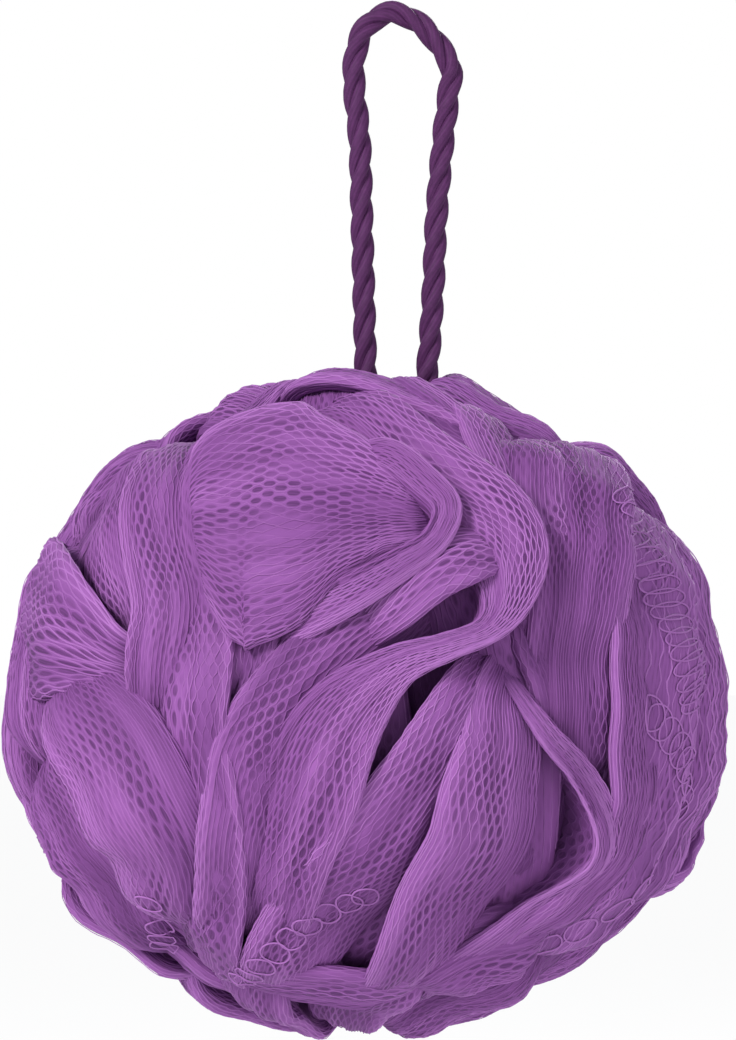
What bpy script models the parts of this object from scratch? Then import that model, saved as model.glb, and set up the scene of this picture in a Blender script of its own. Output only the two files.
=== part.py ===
"""Bath loofah: one tube of net gathered into a ball of ruffles, on a twisted hanging cord.

The net's ruffles are swept along spines that lie on the ball, each with a rolled lip on one side
and a tucked root on the other, and they are joined to the packed middle as one solid. A throat
goes down from the top of the ball to the neck, where a tie cinches the net and the cord's knot
sits. Lengths are in millimetres until mesh_object turns them into metres. The origin is the
inside top of the cord's loop, the front of the ball looks along -Y, and +Z is up.
"""
import math

import bmesh
import bpy
from mathutils import Vector

MM = 0.001
CLEARANCE = 0.3

# The ball of net.
BALL_WIDTH = 131.0
BALL_DEPTH = 120.0
BALL_HEIGHT = 121.0
LOOP_RISE = 61.6
BALL_SHIFT = -4.5
CORE_DEPTH = 13.0
ROOT_DEPTH = 15.5
ROW_STEP = 4.0
FOLD_SCALE = 7.0
LEAST_FOLD = 0.4
MOST_FOLD = 1.3
LEAST_HALF = 1.5
LEAST_TUCK = 4.0
JOIN_GRAIN = 1.0
SOFTEN_STEPS = 2
NET_TRIANGLES = 10600
SHARP_ANGLE = 50.0

# The throat, the neck at its bottom and the tie round the neck.
THROAT_SHIFT = 5.5
THROAT_MOUTH = 18.0
THROAT_FLARE = 3.0
THROAT_LIP = 4.0
THROAT_TAPER = 18.0
THROAT_WIDTH = 17.0
THROAT_DEPTH = 45.0
THROAT_SIDES = 24
CUTTER_RISE = 8.0
NECK_DIAMETER = 11.0
NECK_HEIGHT = 5.0
TIE_DIAMETER = 2.0
TIE_TURNS = 24
TIE_SIDES = 8

# The cord and its knot.
CORD_DIAMETER = 4.3
CORD_STEP = 5.0
ROUTE_STEPS = 600
KNOT_WIDTH = 13.0
KNOT_HEIGHT = 11.0
KNOT_TURNS = 18
KNOT_RINGS = 11
KNOT_LOBES = 3
KNOT_LOBE_DEPTH = 0.08
KNOT_LEAN = 2.2

# The route of the cord's middle line, from the knot up the left leg, round the loop and down the
# right leg to the knot again: across and up, from the inside top of the loop.
CORD_ROUTE = (
    (-1.6, -89.6), (-1.9, -84.0), (-3.0, -76.0), (-4.0, -69.0), (-4.5, -61.6), (-4.9, -46.4),
    (-5.2, -34.9), (-5.6, -21.1), (-6.6, -11.0), (-6.3, -5.0), (-4.3, -0.3), (0.0, 2.15),
    (4.3, 0.7), (7.8, -2.6), (10.8, -7.6), (10.5, -12.0), (9.4, -21.1), (8.2, -34.9),
    (7.7, -46.4), (6.8, -60.0), (5.6, -69.0), (4.4, -76.0), (3.7, -84.0), (3.6, -89.6),
)

BALL_RADII = Vector((BALL_WIDTH / 2, BALL_DEPTH / 2, BALL_HEIGHT / 2))
BALL_CENTRE = Vector((BALL_SHIFT, 0.0, -LOOP_RISE - BALL_HEIGHT / 2))
BALL_TOP = -LOOP_RISE
THROAT_X = BALL_CENTRE.x + THROAT_SHIFT
THROAT_FLOOR = BALL_TOP - THROAT_DEPTH
KNOT_CENTRE = Vector((THROAT_X, 0.0, THROAT_FLOOR + NECK_HEIGHT + CLEARANCE + KNOT_HEIGHT / 2))

# A ruffle's section, from its tucked root over its face and lip and down its other root: the
# place across the ruffle in half-widths, and the height under its crest.
SECTION = (
    (-1.45, -8.0), (-1.00, -5.2), (-0.50, -2.7), (0.10, -0.9), (0.62, 0.0),
    (0.92, -0.4), (1.00, -1.8), (0.86, -4.0), (0.50, -8.0),
)
SECTION_ROOTS = (0.30, -1.00)

# The front ruffles, as name, side of the lip (+1 is the left of the spine's run), fullness of the
# section (1 is a full roll, less is a flatter fold) and spine. A spine's point is azimuth from the
# front in degrees, elevation in degrees, height of the crest over the ball in millimetres and
# half-width in millimetres.
FRONT_RUFFLES = (
    ("fan", 1, 0.4, (
        (-37, 35, -12, 9), (-35, 36, -2, 13), (-32, 37, 1, 16.5), (-28, 38, 1.5, 20.5),
        (-22, 39, 1.5, 22.5), (-14, 39, 1.5, 20), (-5, 39, 1.5, 14), (3, 38, 1, 9), (10, 37, 0, 5),
        (19, 41, -8, 2.5))),
    ("fan_rim", 1, 0.8, (
        (-12, 52, -8, 2), (2, 47, 1, 2), (11, 40, 2, 2), (15, 35, 2, 2), (12, 29, 2, 2),
        (6, 25, 1, 2.5), (-2, 20, 0, 3), (-11, 16, -3, 3.5), (-19, 14, -9, 2.5))),
    ("s_band", 1, 0.7, (
        (-60, 74, -12, 5), (-7, 64, 0, 7), (8, 52, 1, 7.5), (17, 43, 1, 8), (23, 35, 1, 7.5),
        (25, 27, 1, 6), (23, 19, 1, 3.5), (19, 14, 1, 2), (12, 11, 1, 2), (5, 8, 1, 3),
        (-1, 2, 1, 5.5), (-5, -5, 1, 7), (-8, -14, 1, 7.5), (-12, -24, 0, 7), (-18, -37, -1, 6.5),
        (-28, -50, -2, 6), (-42, -63, -5, 5), (-62, -72, -12, 4))),
    ("arch", -1, 0.7, (
        (-4, 12, -9, 2.5), (3, 18, -1, 5), (10, 25, 0, 6.5), (17, 28, 0, 6.5), (24, 28, -2, 4.5),
        (32, 26, -10, 2.5))),
    ("under_fan", -1, 0.6, (
        (16, 32, -12, 4.5), (5, 20, -5, 6), (-4, 13, -3, 7.5), (-12, 4, -2, 7.5),
        (-18, -6, -2, 7.5), (-21, -17, -2, 6.5), (-25, -29, -2, 6), (-33, -43, -3, 5),
        (-48, -57, -12, 3.5))),
    ("left_strip", 1, 0.7, (
        (-72, 70, -12, 4.5), (-54, 59, -3, 5.5), (-42, 42, -2, 6), (-34, 28, -2, 7),
        (-29, 17, -2, 8), (-28, 6, -1, 8), (-28, -4, 0, 7.5), (-26, -14, 0, 7),
        (-27, -27, -1, 6.5), (-34, -42, -1, 6), (-46, -56, -3, 5.5), (-64, -68, -12, 4))),
    ("bundle", -1, 0.7, (
        (-88, 62, -12, 4.5), (-68, 54, -3, 5.5), (-50, 41, -1, 6), (-41, 29, -1, 6),
        (-35, 19, -1, 6.5), (-35, 10, -2, 6.5), (-37, -1, -5, 5.5), (-42, -13, -12, 4))),
    ("top_left_lobe", 1, 0.7, (
        (-92, 56, -12, 4.5), (-76, 47, -2, 6.5), (-62, 37, 0, 7.5), (-51, 26, 0, 8),
        (-45, 18, -3, 7), (-46, 9, -10, 5))),
    ("left_lobe", 1, 0.4, (
        (-94, 19, -12, 11), (-86, 19, -1, 12), (-74, 18, 1, 12.5), (-62, 16, 1, 11),
        (-52, 13, 0, 8), (-44, 10, -2, 5), (-37, 8, -10, 3))),
    ("far_left", -1, 0.7, (
        (-88, 36, -12, 4), (-84, 26, -1, 5.5), (-80, 15, 0, 6.5), (-75, 5, 0, 6.5),
        (-73, -5, -2, 6.5), (-76, -17, -12, 4.5))),
    ("left_band", -1, 0.5, (
        (-70, 12, -12, 5.5), (-57, 2, -1, 8), (-46, -6, 1, 9.5), (-40, -15, 1, 10),
        (-38, -24, 0, 9.5), (-42, -36, -1, 8), (-54, -50, -12, 5.5))),
    ("left_band_low", -1, 0.6, (
        (-84, -4, -12, 4.5), (-74, -14, -1, 6.5), (-66, -24, 0, 8), (-64, -34, -1, 8),
        (-68, -46, -2, 7), (-76, -58, -12, 4.5))),
    ("low_left", 1, 0.7, (
        (-94, -24, -12, 4), (-88, -35, -1, 6), (-84, -46, -1, 6.5), (-80, -56, -1, 6),
        (-74, -67, -12, 4.5))),
    ("diagonal", -1, 0.5, (
        (27, 14, -12, 4.5), (18, 5, -2, 6.5), (13, -2, 0, 7), (9, -10, 0, 8), (3, -19, 0, 8.5),
        (-5, -29, -1, 8), (-14, -40, -1, 7.5), (-24, -52, -2, 6.5), (-37, -65, -5, 6),
        (-60, -76, -12, 4))),
    ("right_fold", -1, 0.6, (
        (29, 14, -12, 3.5), (21, 4, -2, 5.5), (20, -4, 0, 7), (18, -12, 1, 8), (17, -21, 1, 8.5),
        (13, -31, 1, 8), (10, -43, 0, 7), (6, -58, -3, 5.5), (0, -74, -12, 3.5))),
    ("crescent", -1, 0.7, (
        (15, 2, -12, 1.5), (23, -3, -8, 1.8), (28, -6, -2, 2), (32, -8, 1.5, 2), (36, -12, 2, 2),
        (38, -17, 2, 2.3), (38, -23, 1, 3), (35, -30, 1, 4), (30, -38, 0, 5.5), (27, -48, -2, 6),
        (28, -61, -4, 5), (36, -76, -12, 3.5))),
    ("smooth_band", -1, 0.6, (
        (46, 16, -12, 3.5), (42, 4, -2, 5), (44, -5, 0, 5), (46, -14, 0, 5.5), (46, -23, 0, 6),
        (42, -32, 0, 6.5), (37, -41, -1, 6.5), (36, -53, -3, 5.5), (46, -68, -12, 3.5))),
    ("right_band", 1, 0.6, (
        (64, 65, -12, 4.5), (46, 52, -2, 7), (34, 36, 0, 8), (34, 26, -1, 7.5), (35, 15, -2, 6.5),
        (44, 5, -11, 4.5))),
    ("ribbed_band", 1, 0.5, (
        (90, 60, -12, 5), (67, 50, 0, 8.5), (49, 36, 1, 8.5), (43, 24, 0, 8), (41, 14, -1, 7),
        (41, 4, -2, 6), (54, -8, -11, 4))),
    ("right_ruffle", 1, 0.4, (
        (96, 46, -12, 4.5), (80, 35, -2, 8), (66, 23, -1, 9), (59, 12, -1, 9.5), (56, 1, -1, 9.5),
        (54, -10, -1, 9), (54, -22, -1, 8.5), (56, -35, -2, 7.5), (60, -47, -3, 6.5),
        (74, -60, -12, 4.5))),
    ("far_right", 1, 0.6, (
        (104, 42, -12, 3.5), (94, 34, -1, 5.5), (84, 25, 0, 6), (77, 14, -1, 5.5), (73, 3, 1, 6.5),
        (73, -9, 0, 6.5), (76, -22, -1, 6.5), (82, -35, -1, 6), (94, -48, -12, 4.5))),
    ("top_lobe", -1, 0.6, (
        (64, 76, -12, 4), (48, 65, -2, 7), (38, 51, -3, 7.5), (34, 38, -5, 7), (33, 25, -6, 6),
        (37, 14, -12, 4))),
    ("mid_right_dip", -1, 0.7, (
        (36, 32, -12, 4), (31, 16, -5, 6.5), (33, 6, -5, 6.5), (35, -5, -7, 5),
        (41, -19, -12, 3.5))),
    ("hollow_bed", 1, 0.6, (
        (19, 2, -12, 4), (16, -6, -6, 6.5), (15, -15, -6, 6.5), (13, -25, -6, 6.5),
        (9, -37, -6, 5.5), (4, -54, -12, 4))),
    ("low_mid", 1, 0.5, (
        (-66, -52, -12, 4), (-44, -58, -4, 7.5), (-18, -62, -3, 8.5), (6, -65, -3, 8),
        (30, -68, -12, 5))),
    ("low_right", -1, 0.6, (
        (16, -72, -12, 3.5), (19, -56, -1, 6.5), (27, -47, 0, 7), (41, -44, -1, 6.5),
        (60, -48, -12, 4.5))),
    ("mid_left_dip", 1, 0.6, (
        (-4, 15, -12, 3.5), (-6, 3, -5, 6.5), (-10, -7, -5, 7), (-15, -17, -5, 6.5),
        (-19, -29, -5, 5.5), (-28, -44, -12, 4))),
    ("left_dip", 1, 0.6, (
        (-14, 26, -12, 4), (-19, 15, -4, 6), (-21, 4, -4, 6.5), (-23, -8, -4, 6), (-26, -22, -12, 4))),
    ("top_front", -1, 0.7, (
        (-70, 74, -12, 3.5), (-30, 75, 1, 5.5), (8, 74, 1.5, 6), (36, 67, 0, 6.5),
        (46, 57, -3, 6), (58, 48, -12, 4))),
    ("top_left_dark", 1, 0.7, (
        (-100, 60, -12, 4), (-82, 66, -1, 6), (-62, 70, -2, 6), (-38, 72, -12, 4))),
)

# The ruffles at the two sides, laid in the same way.
SIDE_RUFFLES = (
    ("right_side_fold", 1, 0.7, (
        (84, 62, -12, 4), (90, 50, -1, 6), (96, 34, 0, 6.5), (94, 16, 0, 6.5), (88, 0, 0, 6.5),
        (90, -18, -1, 6.5), (98, -36, -2, 6), (110, -52, -12, 4))),
    ("right_side_roll", -1, 0.7, (
        (112, 64, -12, 4), (110, 48, -1, 6.5), (104, 30, -1, 7), (104, 10, 0, 7),
        (108, -10, 0, 7), (106, -30, -1, 6.5), (96, -48, -2, 6), (84, -62, -12, 4))),
    ("right_side_tuck", 1, 0.7, (
        (70, -8, -12, 4), (80, -16, -2, 5.5), (86, -30, -1, 6), (84, -46, -2, 6),
        (74, -60, -3, 5.5), (56, -70, -12, 4))),
    ("left_side_fold", -1, 0.7, (
        (-88, 64, -12, 4), (-96, 50, -1, 6), (-100, 32, 0, 6.5), (-96, 14, 0, 6.5),
        (-94, -4, 0, 6.5), (-98, -22, -1, 6.5), (-106, -40, -2, 6), (-116, -56, -12, 4))),
    ("left_side_roll", 1, 0.7, (
        (-118, 62, -12, 4), (-114, 46, -1, 6.5), (-110, 28, -1, 7), (-112, 8, 0, 7),
        (-110, -12, 0, 7), (-104, -32, -1, 6.5), (-96, -48, -2, 6), (-86, -62, -12, 4))),
)

# Ruffles that stand in a ring: how many there are, the azimuth of the first, the side of the lip,
# the fullness and the spine of one, from its own azimuth. The first ring stands round the throat,
# the second round the foot of the ball, and the third lies under all the others.
RINGS = (
    (9, 10, 1, 0.7, ((0, 84, -12, 3.5), (4, 76, -1, 5.5), (12, 65, -2, 7), (22, 54, -3, 6.5),
                     (32, 44, -12, 4))),
    (8, 25, -1, 0.7, ((0, -89, -12, 2.5), (6, -80, -1, 4.5), (16, -69, -1, 7), (28, -58, -2, 7),
                      (40, -46, -12, 4))),
    (14, 7, 1, 0.6, ((0, 72, -12, 4), (4, 58, -6.5, 7.5), (9, 38, -5.5, 10.5), (13, 16, -5.5, 12.5),
                     (16, -8, -5.5, 13), (20, -30, -5.5, 11.5), (25, -52, -6.5, 8.5),
                     (30, -70, -12, 4.5))),
)


def way(azimuth, elevation):
    """The direction from the ball's middle, in the round space where the ball is a sphere."""
    turn, rise = math.radians(azimuth), math.radians(elevation)
    return Vector((math.sin(turn) * math.cos(rise), -math.cos(turn) * math.cos(rise), math.sin(rise)))


def on_ball(direction, height):
    """The point at a height over the ball along a direction of the round space."""
    d = direction.normalized()
    reach = BALL_RADII + Vector((height, height, height))
    return BALL_CENTRE + Vector((d.x * reach.x, d.y * reach.y, d.z * reach.z))


def to_round(point):
    """The round-space direction of a point in millimetres."""
    p = point - BALL_CENTRE
    return Vector((p.x / BALL_RADII.x, p.y / BALL_RADII.y, p.z / BALL_RADII.z)).normalized()


def smooth(values, place):
    """A value of a smooth curve through a list, at a place counted in list steps."""
    last = len(values) - 1
    i = min(int(place), last - 1)
    t = place - i
    a, b, c, d = (values[max(0, min(last, i + k))] for k in (-1, 0, 1, 2))
    return 0.5 * (2 * b + (c - a) * t + (2 * a - 5 * b + 4 * c - d) * t * t
                  + (3 * b - a - 3 * c + d) * t * t * t)


def ruffle_rows(spine, lip_side, fullness, turn_over=False):
    """The rings of points of one ruffle, from end to end of its spine."""
    ways = [way(a, e) for a, e, _, _ in spine]
    if turn_over:
        ways = [Vector((w.x, -w.y, -w.z)) for w in ways]
    heights = [p[2] for p in spine]
    halves = [p[3] for p in spine]
    last = len(spine) - 1
    length = sum((on_ball(a, 0) - on_ball(b, 0)).length for a, b in zip(ways, ways[1:]))
    count = max(5, round(length / ROW_STEP))
    places = [last * i / count for i in range(count + 1)]
    line = [smooth(ways, p).normalized() for p in places]
    rows = []
    for i, place in enumerate(places):
        here = on_ball(line[i], 0)
        ahead = on_ball(line[min(count, i + 1)], 0) - on_ball(line[max(0, i - 1)], 0)
        up = (here - BALL_CENTRE).normalized()
        side = up.cross(ahead).normalized() * lip_side
        half = max(LEAST_HALF, smooth(halves, place))
        crest = smooth(heights, place)
        fold = fullness * min(MOST_FOLD, max(LEAST_FOLD, half / FOLD_SCALE))
        row = [on_ball(to_round(here + side * half * s), crest + n * fold) for s, n in SECTION]
        root = min(-ROOT_DEPTH, crest - LEAST_TUCK)
        row += [on_ball(to_round(here + side * half * s), root) for s in SECTION_ROOTS]
        rows.append(row)
    return rows


def tube_mesh(bm, rows):
    """Close rings of points into one solid skin."""
    rings = [[bm.verts.new(p * MM) for p in row] for row in rows]
    size = len(rings[0])
    for a, b in zip(rings, rings[1:]):
        for k in range(size):
            n = (k + 1) % size
            bm.faces.new((a[k], a[n], b[n], b[k]))
    bm.faces.new(rings[0][::-1])
    bm.faces.new(rings[-1])
    bmesh.ops.recalc_face_normals(bm, faces=bm.faces)


def mesh_object(name, bm, material=None):
    """A scene object of a bmesh."""
    bmesh.ops.triangulate(bm, faces=bm.faces)
    mesh = bpy.data.meshes.new(name)
    bm.to_mesh(mesh)
    bm.free()
    obj = bpy.data.objects.new(name, mesh)
    bpy.context.scene.collection.objects.link(obj)
    if material:
        mesh.materials.append(material)
    mesh.shade_smooth()
    mesh.set_sharp_from_angle(angle=math.radians(SHARP_ANGLE))
    return obj


def finish(name, colour, roughness):
    """A plain plastic or fibre finish."""
    material = bpy.data.materials.new(name)
    material.use_nodes = True
    shader = material.node_tree.nodes["Principled BSDF"]
    shader.inputs["Base Color"].default_value = (*colour, 1.0)
    shader.inputs["Roughness"].default_value = roughness
    shader.inputs["Metallic"].default_value = 0.0
    return material


def clear_scene():
    for obj in list(bpy.data.objects):
        bpy.data.objects.remove(obj)


def gathered_folds():
    """The packed middle and every ruffle round it, front and back, before they are joined."""
    bm = bmesh.new()
    bmesh.ops.create_icosphere(bm, subdivisions=4, radius=1.0)
    for v in bm.verts:
        v.co = on_ball(v.co.copy(), -CORE_DEPTH) * MM
    for turn_over in (False, True):
        for _, lip_side, fullness, spine in FRONT_RUFFLES:
            tube_mesh(bm, ruffle_rows(spine, lip_side, fullness, turn_over))
    for _, lip_side, fullness, spine in SIDE_RUFFLES:
        tube_mesh(bm, ruffle_rows(spine, lip_side, fullness))
    for count, first, lip_side, fullness, spine in RINGS:
        for k in range(count):
            turned = [(first + 360 / count * k + a, e, h, half) for a, e, h, half in spine]
            tube_mesh(bm, ruffle_rows(turned, lip_side, fullness))
    return bm


def throat_cutter():
    """A well from above the ball to the neck, with the neck left standing at its bottom."""
    bm = bmesh.new()
    top = BALL_TOP + CUTTER_RISE
    neck_top = THROAT_FLOOR + NECK_HEIGHT
    profile = (
        (0.0, top), (THROAT_MOUTH / 2 + THROAT_FLARE, top), (THROAT_MOUTH / 2, BALL_TOP - THROAT_LIP),
        (THROAT_WIDTH / 2, BALL_TOP - THROAT_TAPER), (THROAT_WIDTH / 2, THROAT_FLOOR),
        (NECK_DIAMETER / 2, THROAT_FLOOR), (NECK_DIAMETER / 2, neck_top), (0.0, neck_top),
    )
    turns = [2 * math.pi * k / THROAT_SIDES for k in range(THROAT_SIDES)]
    rings = []
    for radius, z in profile:
        if radius == 0.0:
            rings.append([bm.verts.new(Vector((THROAT_X, 0.0, z)) * MM)])
            continue
        ring = [Vector((THROAT_X + radius * math.cos(t), radius * math.sin(t), z)) for t in turns]
        rings.append([bm.verts.new(p * MM) for p in ring])
    for a, b in zip(rings, rings[1:]):
        for k in range(THROAT_SIDES):
            n = (k + 1) % THROAT_SIDES
            corners = [a[k % len(a)], a[n % len(a)], b[n % len(b)], b[k % len(b)]]
            bm.faces.new(list(dict.fromkeys(corners)))
    bmesh.ops.recalc_face_normals(bm, faces=bm.faces)
    return bm


def baked(obj):
    """Give an object the mesh that its modifiers make."""
    graph = bpy.context.evaluated_depsgraph_get()
    graph.update()
    shape = bpy.data.meshes.new_from_object(obj.evaluated_get(graph))
    obj.modifiers.clear()
    obj.data = shape


def keep_outer_skin(obj):
    """Drop the small sealed pockets left inside, and keep the outer skin."""
    bm = bmesh.new()
    bm.from_mesh(obj.data)
    left = set(bm.faces)
    skins = []
    while left:
        seed = left.pop()
        skin, border = [seed], [seed]
        while border:
            face = border.pop()
            for other in {f for e in face.edges for f in e.link_faces} & left:
                left.discard(other)
                skin.append(other)
                border.append(other)
        skins.append(skin)
    skins.sort(key=len, reverse=True)
    bmesh.ops.delete(bm, geom=[f for skin in skins[1:] for f in skin], context="FACES")
    bm.to_mesh(obj.data)
    bm.free()


def netting(material):
    """The whole net: packed middle, ruffles round the front and the back, and the throat."""
    ball = mesh_object("netting", gathered_folds(), material)
    join = ball.modifiers.new("join", "REMESH")
    join.mode = "VOXEL"
    join.voxel_size = JOIN_GRAIN * MM
    baked(ball)
    keep_outer_skin(ball)
    soften = ball.modifiers.new("soften", "SMOOTH")
    soften.factor = 0.5
    soften.iterations = SOFTEN_STEPS
    thin = ball.modifiers.new("thin_out", "DECIMATE")
    thin.ratio = NET_TRIANGLES / sum(len(p.vertices) - 2 for p in ball.data.polygons)
    throat = mesh_object("throat_cutter", throat_cutter())
    cut = ball.modifiers.new("throat", "BOOLEAN")
    cut.operation = "DIFFERENCE"
    cut.solver = "EXACT"
    cut.object = throat
    baked(ball)
    keep_outer_skin(ball)
    bpy.data.objects.remove(throat)
    ball.data.shade_smooth()
    ball.data.set_sharp_from_angle(angle=math.radians(SHARP_ANGLE))
    return ball


def gather_tie(material):
    """The tie that cinches the net round its neck."""
    bm = bmesh.new()
    middle = Vector((THROAT_X, 0.0, THROAT_FLOOR + CLEARANCE + TIE_DIAMETER / 2))
    ring = NECK_DIAMETER / 2 + CLEARANCE + TIE_DIAMETER / 2
    up = Vector((0.0, 0.0, TIE_DIAMETER / 2))
    turns = [2 * math.pi * k / TIE_SIDES for k in range(TIE_SIDES)]
    rows = []
    for i in range(TIE_TURNS):
        t = 2 * math.pi * i / TIE_TURNS
        out = Vector((math.cos(t), math.sin(t), 0.0))
        loop = [middle + out * (ring + TIE_DIAMETER / 2 * math.cos(u)) + up * math.sin(u) for u in turns]
        rows.append([bm.verts.new(p * MM) for p in loop])
    for i in range(TIE_TURNS):
        a, b = rows[i], rows[(i + 1) % TIE_TURNS]
        for k in range(TIE_SIDES):
            n = (k + 1) % TIE_SIDES
            bm.faces.new((a[k], a[n], b[n], b[k]))
    bmesh.ops.recalc_face_normals(bm, faces=bm.faces)
    return mesh_object("gather_tie", bm, material)


def cord_knot(material):
    """The pulled-tight knot at the ends of the cord, lobed where its turns cross."""
    bm = bmesh.new()
    bmesh.ops.create_uvsphere(bm, u_segments=KNOT_TURNS, v_segments=KNOT_RINGS, radius=1.0)
    for v in bm.verts:
        x, y, z = v.co
        wave = 1 + math.cos(KNOT_LOBES * math.atan2(y, x) + KNOT_LEAN * z)
        wide = KNOT_WIDTH / 2 * (1.0 - KNOT_LOBE_DEPTH * (1 - z ** 2) * wave)
        v.co = (KNOT_CENTRE + Vector((x * wide, y * wide, z * KNOT_HEIGHT / 2))) * MM
    return mesh_object("cord_knot", bm, material)


def hang_cord(material):
    """The plain tube of the cord along its whole route."""
    route = [Vector((x, 0.0, z)) for x, z in CORD_ROUTE]
    last = len(route) - 1
    fine = [smooth(route, last * i / ROUTE_STEPS) for i in range(ROUTE_STEPS + 1)]
    gone = [0.0]
    for a, b in zip(fine, fine[1:]):
        gone.append(gone[-1] + (b - a).length)
    count = round(gone[-1] / CORD_STEP)
    points = []
    k = 0
    for i in range(count + 1):
        want = gone[-1] * i / count
        while k < ROUTE_STEPS - 1 and gone[k + 1] < want:
            k += 1
        share = (want - gone[k]) / (gone[k + 1] - gone[k])
        points.append(fine[k].lerp(fine[k + 1], min(1.0, share)))
    curve = bpy.data.curves.new("hang_cord", "CURVE")
    curve.dimensions = "3D"
    curve.bevel_depth = CORD_DIAMETER / 2 * MM
    curve.bevel_resolution = 2
    curve.use_fill_caps = True
    line = curve.splines.new("POLY")
    line.points.add(len(points) - 1)
    for spot, point in zip(line.points, points):
        spot.co = (*(point * MM), 1.0)
    line.use_smooth = True
    curve.materials.append(material)
    obj = bpy.data.objects.new("hang_cord", curve)
    bpy.context.scene.collection.objects.link(obj)
    return obj


clear_scene()
NET_FINISH = finish("net_plastic", (0.28, 0.09, 0.35), 0.5)
CORD_FINISH = finish("cord_fibre", (0.10, 0.03, 0.13), 0.7)
netting(NET_FINISH)
gather_tie(CORD_FINISH)
cord_knot(CORD_FINISH)
hang_cord(CORD_FINISH)
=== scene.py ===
"""Looks of the bath loofah: real strands of net on every ruffle, and a cord of three strands."""
import math

import bpy
import numpy as np
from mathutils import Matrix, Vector
from mathutils.bvhtree import BVHTree


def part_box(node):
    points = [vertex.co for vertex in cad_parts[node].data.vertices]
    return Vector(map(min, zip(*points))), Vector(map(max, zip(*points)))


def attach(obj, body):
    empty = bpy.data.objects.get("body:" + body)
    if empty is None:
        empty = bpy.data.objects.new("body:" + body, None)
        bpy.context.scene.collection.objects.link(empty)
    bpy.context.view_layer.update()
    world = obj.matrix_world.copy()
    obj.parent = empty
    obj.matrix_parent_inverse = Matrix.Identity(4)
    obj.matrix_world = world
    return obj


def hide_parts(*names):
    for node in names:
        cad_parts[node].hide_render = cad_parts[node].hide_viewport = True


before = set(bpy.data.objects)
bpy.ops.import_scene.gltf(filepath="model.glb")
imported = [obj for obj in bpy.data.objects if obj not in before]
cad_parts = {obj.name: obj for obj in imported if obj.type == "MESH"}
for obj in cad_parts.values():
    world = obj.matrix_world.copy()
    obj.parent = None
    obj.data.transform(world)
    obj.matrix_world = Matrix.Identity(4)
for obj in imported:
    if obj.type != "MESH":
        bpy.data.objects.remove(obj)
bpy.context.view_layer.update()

MM = 0.001

# The ball of net, in millimetres, as the source has it: its size, how far its top lies under the
# inside of the loop, how far it stands to the left, how deep its packed middle and the ruffles'
# sides lie, the half-width at which a ruffle makes a full roll, and the throat that the cord goes
# down.
BALL_WIDTH = 131.0
BALL_DEPTH = 120.0
BALL_HEIGHT = 121.0
LOOP_RISE = 61.6
BALL_SHIFT = -4.5
CORE_DEPTH = 13.0
ROOT_DEPTH = 15.5
FOLD_SCALE = 7.0
THROAT_SHIFT = 5.5
THROAT_WIDTH = 17.0
THROAT_DEPTH = 45.0

BALL_RADII = np.array([BALL_WIDTH, BALL_DEPTH, BALL_HEIGHT]) / 2
BALL_CENTRE = np.array([BALL_SHIFT, 0.0, -LOOP_RISE - BALL_HEIGHT / 2])
THROAT_X = BALL_SHIFT + THROAT_SHIFT
THROAT_FLOOR = -LOOP_RISE - THROAT_DEPTH

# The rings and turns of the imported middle, the turns and rings of the throat's lining, and how far
# under the top of the ball the lining starts.
MIDDLE_GRID = (90, 160)
LINING_GRID = (72, 16)
LINING_TOP = 9.0

# The cord: the length of one twist, its strands' radius and how far they lie from its middle line,
# the same for the tighter turns of the knot, and the steps of its mesh and of a coarser path. Its
# route is x and z, up the left leg and down the right one. All in millimetres.
CORD_TWIST = 18.0
CORD_STRAND, CORD_SPREAD = 1.12, 1.03
KNOT_TWIST = 14.0
KNOT_STRAND, KNOT_SPREAD = 1.05, 0.95
KNOT_INSET = 2.0
CORD_SIDES = 14
CORD_STEP = 0.7
PATH_STEP = 3.0
CORD_ROUTE = (
    (-1.6, -89.6), (-1.9, -84.0), (-3.0, -76.0), (-4.0, -69.0), (-4.5, -61.6), (-4.9, -46.4),
    (-5.2, -34.9), (-5.6, -21.1), (-6.6, -11.0), (-6.3, -5.0), (-4.3, -0.3), (0.0, 2.15),
    (4.3, 0.7), (7.8, -2.6), (10.8, -7.6), (10.5, -12.0), (9.4, -21.1), (8.2, -34.9),
    (7.7, -46.4), (6.8, -60.0), (5.6, -69.0), (4.4, -76.0), (3.7, -84.0), (3.6, -89.6),
)

# The section that every ruffle is rolled in, as places across in half-widths and heights from the
# crest in millimetres, and the places where its two sides go down into the ball.
SECTION = (
    (-1.45, -8.0), (-1.00, -5.2), (-0.50, -2.7), (0.10, -0.9), (0.62, 0.0),
    (0.92, -0.4), (1.00, -1.8), (0.86, -4.0), (0.50, -8.0),
)
SECTION_ROOTS = (0.30, -1.00)

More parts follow.
